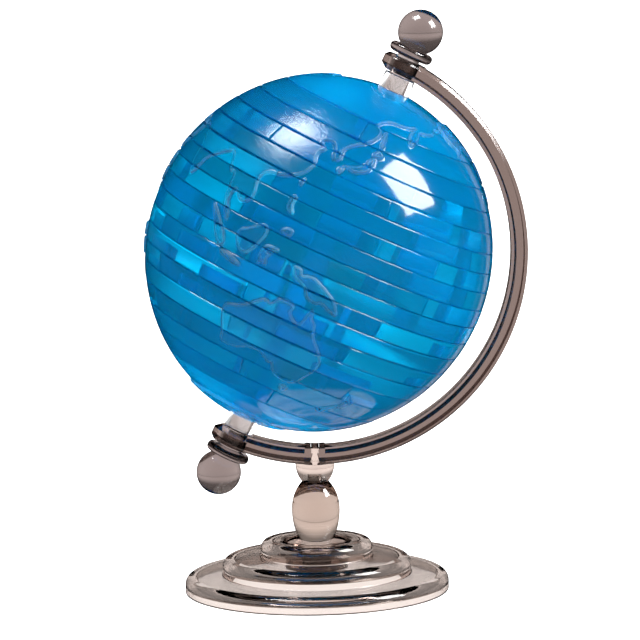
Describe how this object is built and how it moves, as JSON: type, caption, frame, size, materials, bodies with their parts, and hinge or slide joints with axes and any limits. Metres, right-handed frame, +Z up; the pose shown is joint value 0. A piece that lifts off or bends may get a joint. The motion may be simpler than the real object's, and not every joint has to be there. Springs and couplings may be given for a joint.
{
  "type": "desktop globe on stand",
  "caption": "Small translucent desktop globe stacked from interlocking layers, spinning on a tilted axis in a C-shaped arc on a turned stem and stepped round base.",
  "frame": {"origin": "on the surface that the base stands on, under the middle of the object's bounding box", "axes": "+Z up; the globe's axis leans to +X, the arc is on the +X side and lies in the XZ plane"},
  "size_m": [0.0878, 0.08, 0.1332],
  "materials": {
    "blue_plastic": "clear blue polystyrene, polished sea and finely frosted land",
    "smoke_plastic": "clear polystyrene tinted smoke brown, polished",
    "clear_plastic": "almost colourless clear polystyrene, polished"
  },
  "bodies": {
    "stand": {"base": "smoke_plastic", "stem_bulb": "smoke_plastic", "stem_cup": "smoke_plastic", "arc_lower": "smoke_plastic", "arc_upper": "smoke_plastic"},
    "globe": {"axle": "clear_plastic", "collar_bottom": "clear_plastic", "collar_top": "clear_plastic", "finial_bottom": "smoke_plastic", "finial_top": "smoke_plastic", "cap_bottom": "blue_plastic", "cap_top": "blue_plastic", "layer_01_a": "blue_plastic", "layer_01_b": "blue_plastic", "layer_02_a": "blue_plastic", "layer_02_b": "blue_plastic", "layer_03_a": "blue_plastic", "layer_03_b": "blue_plastic", "layer_04_a": "blue_plastic", "layer_04_b": "blue_plastic", "layer_05_a": "blue_plastic", "layer_05_b": "blue_plastic", "layer_06_a": "blue_plastic", "layer_06_b": "blue_plastic", "layer_07_a": "blue_plastic", "layer_07_b": "blue_plastic", "layer_08_a": "blue_plastic", "layer_08_b": "blue_plastic", "layer_09_a": "blue_plastic", "layer_09_b": "blue_plastic", "layer_10_a": "blue_plastic", "layer_10_b": "blue_plastic", "layer_11_a": "blue_plastic", "layer_11_b": "blue_plastic", "layer_12_a": "blue_plastic", "layer_12_b": "blue_plastic", "layer_13_a": "blue_plastic", "layer_13_b": "blue_plastic", "layer_14_a": "blue_plastic", "layer_14_b": "blue_plastic", "layer_15_a": "blue_plastic", "layer_15_b": "blue_plastic", "layer_16_a": "blue_plastic", "layer_16_b": "blue_plastic"}
  },
  "joints": [
    {"name": "globe_spin", "type": "hinge", "parent": "stand", "child": "globe", "pos_m": [-0.00369, 0, 0.07798], "axis": [0.4321, 0, 0.9018], "continuous": true}
  ]
}
